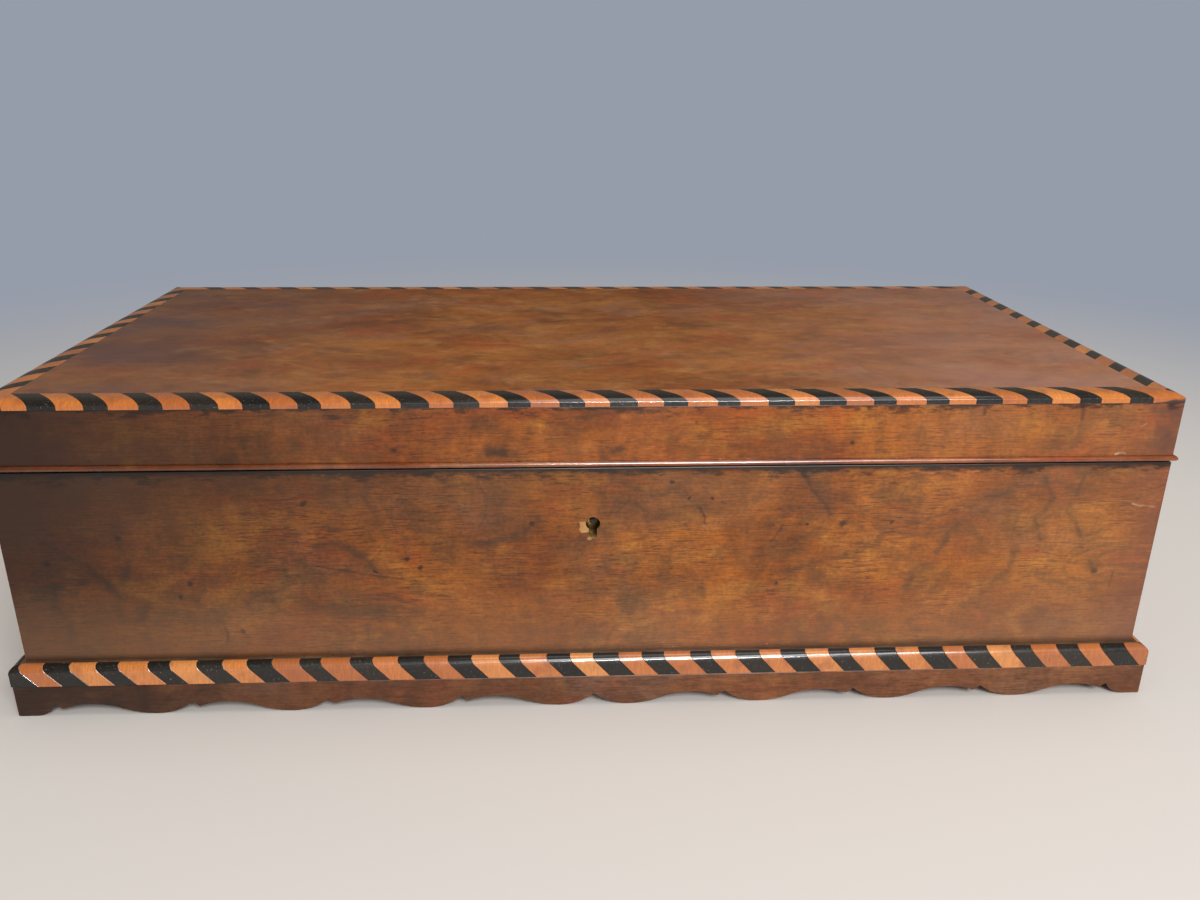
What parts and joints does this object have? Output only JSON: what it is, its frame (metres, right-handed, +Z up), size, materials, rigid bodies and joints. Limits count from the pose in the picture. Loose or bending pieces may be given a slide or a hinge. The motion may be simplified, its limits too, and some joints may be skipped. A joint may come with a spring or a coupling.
{
  "type": "letter writing box with drawer",
  "caption": "Walnut writing box with a hinged lid, dark and light block edging, scalloped base, side drawer and a fitted letter well with pen tray and ink bottles.",
  "frame": {"origin": "middle of the bounding box's bottom face, on the surface the box stands on", "axes": "+X to the right along the length, towards the drawer; -Y is the front with the keyhole; +Z up"},
  "size_m": [0.4974, 0.2358, 0.139],
  "materials": {
    "walnut_face": "aged French polish over walnut veneer, semi-gloss",
    "walnut_top": "aged French polish over walnut veneer, soft sheen",
    "walnut_moulding": "polished solid walnut",
    "ebonised_blocks": "stained black, polished",
    "boxwood_blocks": "fruitwood gone orange under old polish",
    "inner_mahogany": "thin wax polish",
    "plain_pine": "bare planed softwood, aged",
    "lining_velvet": "short worn pile",
    "old_brass": "aged, lightly tarnished",
    "iron": "dull, darkened",
    "clear_glass": "thick pressed glass"
  },
  "bodies": {
    "case": {"case_front": "walnut_face", "case_back": "walnut_face", "case_end_left": "walnut_face", "case_end_right": "walnut_face", "apron_front": "walnut_moulding", "apron_back": "walnut_moulding", "apron_left": "walnut_moulding", "apron_right": "walnut_moulding", "base_fillet_front": "walnut_moulding", "base_fillet_back": "walnut_moulding", "base_fillet_left": "walnut_moulding", "base_fillet_right": "walnut_moulding", "base_edging_dark": "ebonised_blocks", "base_edging_light": "boxwood_blocks", "well_partition_long": "inner_mahogany", "well_partition_cross": "inner_mahogany", "ink_bay_dividers": "inner_mahogany", "case_bottom_board": "plain_pine", "well_dust_board": "plain_pine", "drawer_runners": "plain_pine", "drawer_guides": "plain_pine", "drawer_stop": "plain_pine", "corner_glue_blocks": "plain_pine", "well_floor_lining": "lining_velvet", "hinge_leaves_case": "old_brass", "hinge_screws_case": "old_brass", "lock_plate": "old_brass", "lock_screws": "old_brass", "hinge_pins": "iron", "lock_case": "iron", "lock_pin": "iron"},
    "lid": {"lid_top_panel": "walnut_top", "lid_lining": "lining_velvet", "lid_rail_front": "walnut_face", "lid_rail_back": "walnut_face", "lid_rail_left": "walnut_face", "lid_rail_right": "walnut_face", "lid_bead_front": "walnut_moulding", "lid_bead_back": "walnut_moulding", "lid_bead_left": "walnut_moulding", "lid_bead_right": "walnut_moulding", "lid_edging_dark": "ebonised_blocks", "lid_edging_light": "boxwood_blocks", "hinge_leaves_lid": "old_brass", "hinge_screws_lid": "old_brass", "lock_link_plate": "old_brass", "lock_link_screws": "old_brass"},
    "drawer": {"drawer_front": "walnut_face", "drawer_side_near": "inner_mahogany", "drawer_side_far": "inner_mahogany", "drawer_back": "inner_mahogany", "drawer_bottom_board": "plain_pine", "drawer_knob": "old_brass"},
    "lock_bolt": {"lock_bolt": "old_brass"},
    "pen_tray": {"pen_tray": "inner_mahogany"},
    "ink_bottle_left": {"ink_bottle_left": "clear_glass", "ink_cap_left": "old_brass"},
    "ink_bottle_right": {"ink_bottle_right": "clear_glass", "ink_cap_right": "old_brass"}
  },
  "joints": [
    {"name": "lid_hinge", "type": "hinge", "parent": "case", "child": "lid", "pos_m": [-0.0033, 0.1152, 0.1097], "axis": [-1, 0, 0], "range_deg": [0, 96]},
    {"name": "drawer_slide", "type": "slide", "parent": "case", "child": "drawer", "axis": [1, 0, 0], "range_m": [0, 0.28]},
    {"name": "bolt_slide", "type": "slide", "parent": "case", "child": "lock_bolt", "axis": [1, 0, 0], "range_m": [0, 0.004]},
    {"name": "pen_tray_lift", "type": "slide", "parent": "case", "child": "pen_tray", "axis": [0, 0, 1], "range_m": [0, 0.035]},
    {"name": "ink_bottle_left_lift", "type": "slide", "parent": "case", "child": "ink_bottle_left", "axis": [0, 0, 1], "range_m": [0, 0.028]},
    {"name": "ink_bottle_right_lift", "type": "slide", "parent": "case", "child": "ink_bottle_right", "axis": [0, 0, 1], "range_m": [0, 0.028]}
  ]
}
